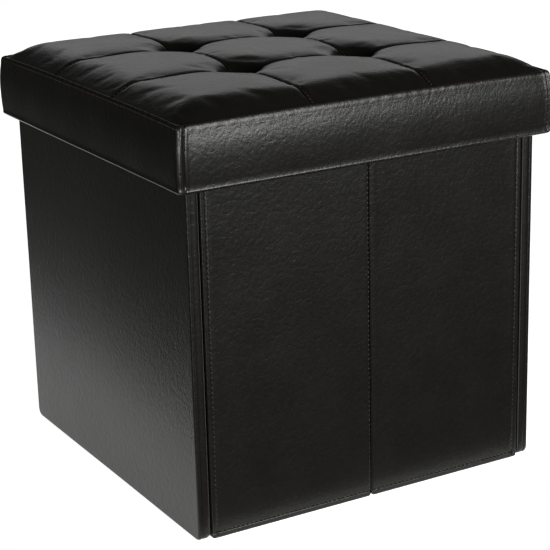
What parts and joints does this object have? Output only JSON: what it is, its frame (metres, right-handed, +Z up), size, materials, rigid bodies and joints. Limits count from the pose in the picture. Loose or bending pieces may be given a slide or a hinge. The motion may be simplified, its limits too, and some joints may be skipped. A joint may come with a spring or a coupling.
{
  "type": "storage ottoman",
  "caption": "Square storage ottoman with a padded, tufted lift-off lid and leather-covered walls that fold flat at the centre creases.",
  "frame": {"origin": "centre of the whole object's footprint, on the floor", "axes": "+Z up, -Y towards the front wall with its centre crease, +X to the right seen from the front"},
  "size_m": [0.38, 0.38, 0.39],
  "materials": {
    "faux_leather": "near-black espresso polyurethane leather, fine creased grain, satin to semi-gloss",
    "fibreboard": "raw medium-density fibreboard",
    "nonwoven_lining": "black spun-bonded lining, matte, with a fine embossed dot",
    "woven_tape": "black woven tape, matte",
    "greyboard": "thin board wrapped in black spun-bonded fabric",
    "foam": "open-cell cushion foam, matte",
    "tufting_twine": "waxed dark brown twine",
    "washer_plastic": "moulded disc, matte",
    "steel_wire": "galvanised steel wire"
  },
  "bodies": {
    "left_wall": {"left_cover": "faux_leather", "left_edge_band": "faux_leather", "left_board": "fibreboard", "left_lining": "nonwoven_lining", "hinge_tape_front_left": "woven_tape", "hinge_tape_back_left": "woven_tape", "bottom_sheet": "nonwoven_lining", "base_insert": "greyboard", "pull_tab": "woven_tape"},
    "front_left_panel": {"front_left_cover": "faux_leather", "front_left_board": "fibreboard", "front_left_lining": "nonwoven_lining", "front_crease_web": "faux_leather"},
    "front_right_panel": {"front_right_cover": "faux_leather", "front_right_board": "fibreboard", "front_right_lining": "nonwoven_lining"},
    "right_wall": {"right_cover": "faux_leather", "right_edge_band": "faux_leather", "right_board": "fibreboard", "right_lining": "nonwoven_lining", "hinge_tape_front_right": "woven_tape", "hinge_tape_back_right": "woven_tape"},
    "back_left_panel": {"back_left_cover": "faux_leather", "back_left_board": "fibreboard", "back_left_lining": "nonwoven_lining"},
    "back_right_panel": {"back_right_cover": "faux_leather", "back_right_board": "fibreboard", "back_right_lining": "nonwoven_lining", "back_crease_web": "faux_leather"},
    "lid": {"lid_board": "fibreboard", "lid_rail_front": "fibreboard", "lid_rail_right": "fibreboard", "lid_rail_back": "fibreboard", "lid_rail_left": "fibreboard", "skirt_cover_front": "faux_leather", "skirt_cover_right": "faux_leather", "skirt_cover_back": "faux_leather", "skirt_cover_left": "faux_leather", "seat_foam": "foam", "seat_cover": "faux_leather", "tuft_ties": "tufting_twine", "tie_washers": "washer_plastic", "lid_lining": "nonwoven_lining", "rail_nails": "steel_wire", "lid_staples": "steel_wire"}
  },
  "joints": [
    {"name": "lid_lift", "type": "slide", "parent": "left_wall", "child": "lid", "axis": [0, 0, 1], "range_m": [0, 0.25]},
    {"name": "fold", "type": "hinge", "parent": "left_wall", "child": "front_left_panel", "pos_m": [-0.1655, -0.1675, 0.15], "axis": [0, 0, 1], "range_deg": [0, 90], "deforming": ["hinge_tape_front_left", "hinge_tape_back_left", "hinge_tape_front_right", "hinge_tape_back_right", "bottom_sheet", "base_insert", "pull_tab"]},
    {"name": "front_crease", "type": "hinge", "parent": "front_left_panel", "child": "front_right_panel", "pos_m": [0, -0.178, 0.15], "axis": [0, 0, 1], "range_deg": [-180, 0]},
    {"name": "front_right_corner", "type": "hinge", "parent": "front_right_panel", "child": "right_wall", "pos_m": [0.1655, -0.1675, 0.15], "axis": [0, 0, 1], "range_deg": [0, 90]},
    {"name": "back_left_corner", "type": "hinge", "parent": "left_wall", "child": "back_left_panel", "pos_m": [-0.1655, 0.1675, 0.15], "axis": [0, 0, 1], "range_deg": [-90, 0]},
    {"name": "back_crease", "type": "hinge", "parent": "back_left_panel", "child": "back_right_panel", "pos_m": [0, 0.178, 0.15], "axis": [0, 0, 1], "range_deg": [0, 180]}
  ],
  "couplings": [
    {"joint": "front_crease", "follows": "fold", "ratio": -2},
    {"joint": "front_right_corner", "follows": "fold", "ratio": 1},
    {"joint": "back_left_corner", "follows": "fold", "ratio": -1},
    {"joint": "back_crease", "follows": "fold", "ratio": 2}
  ]
}
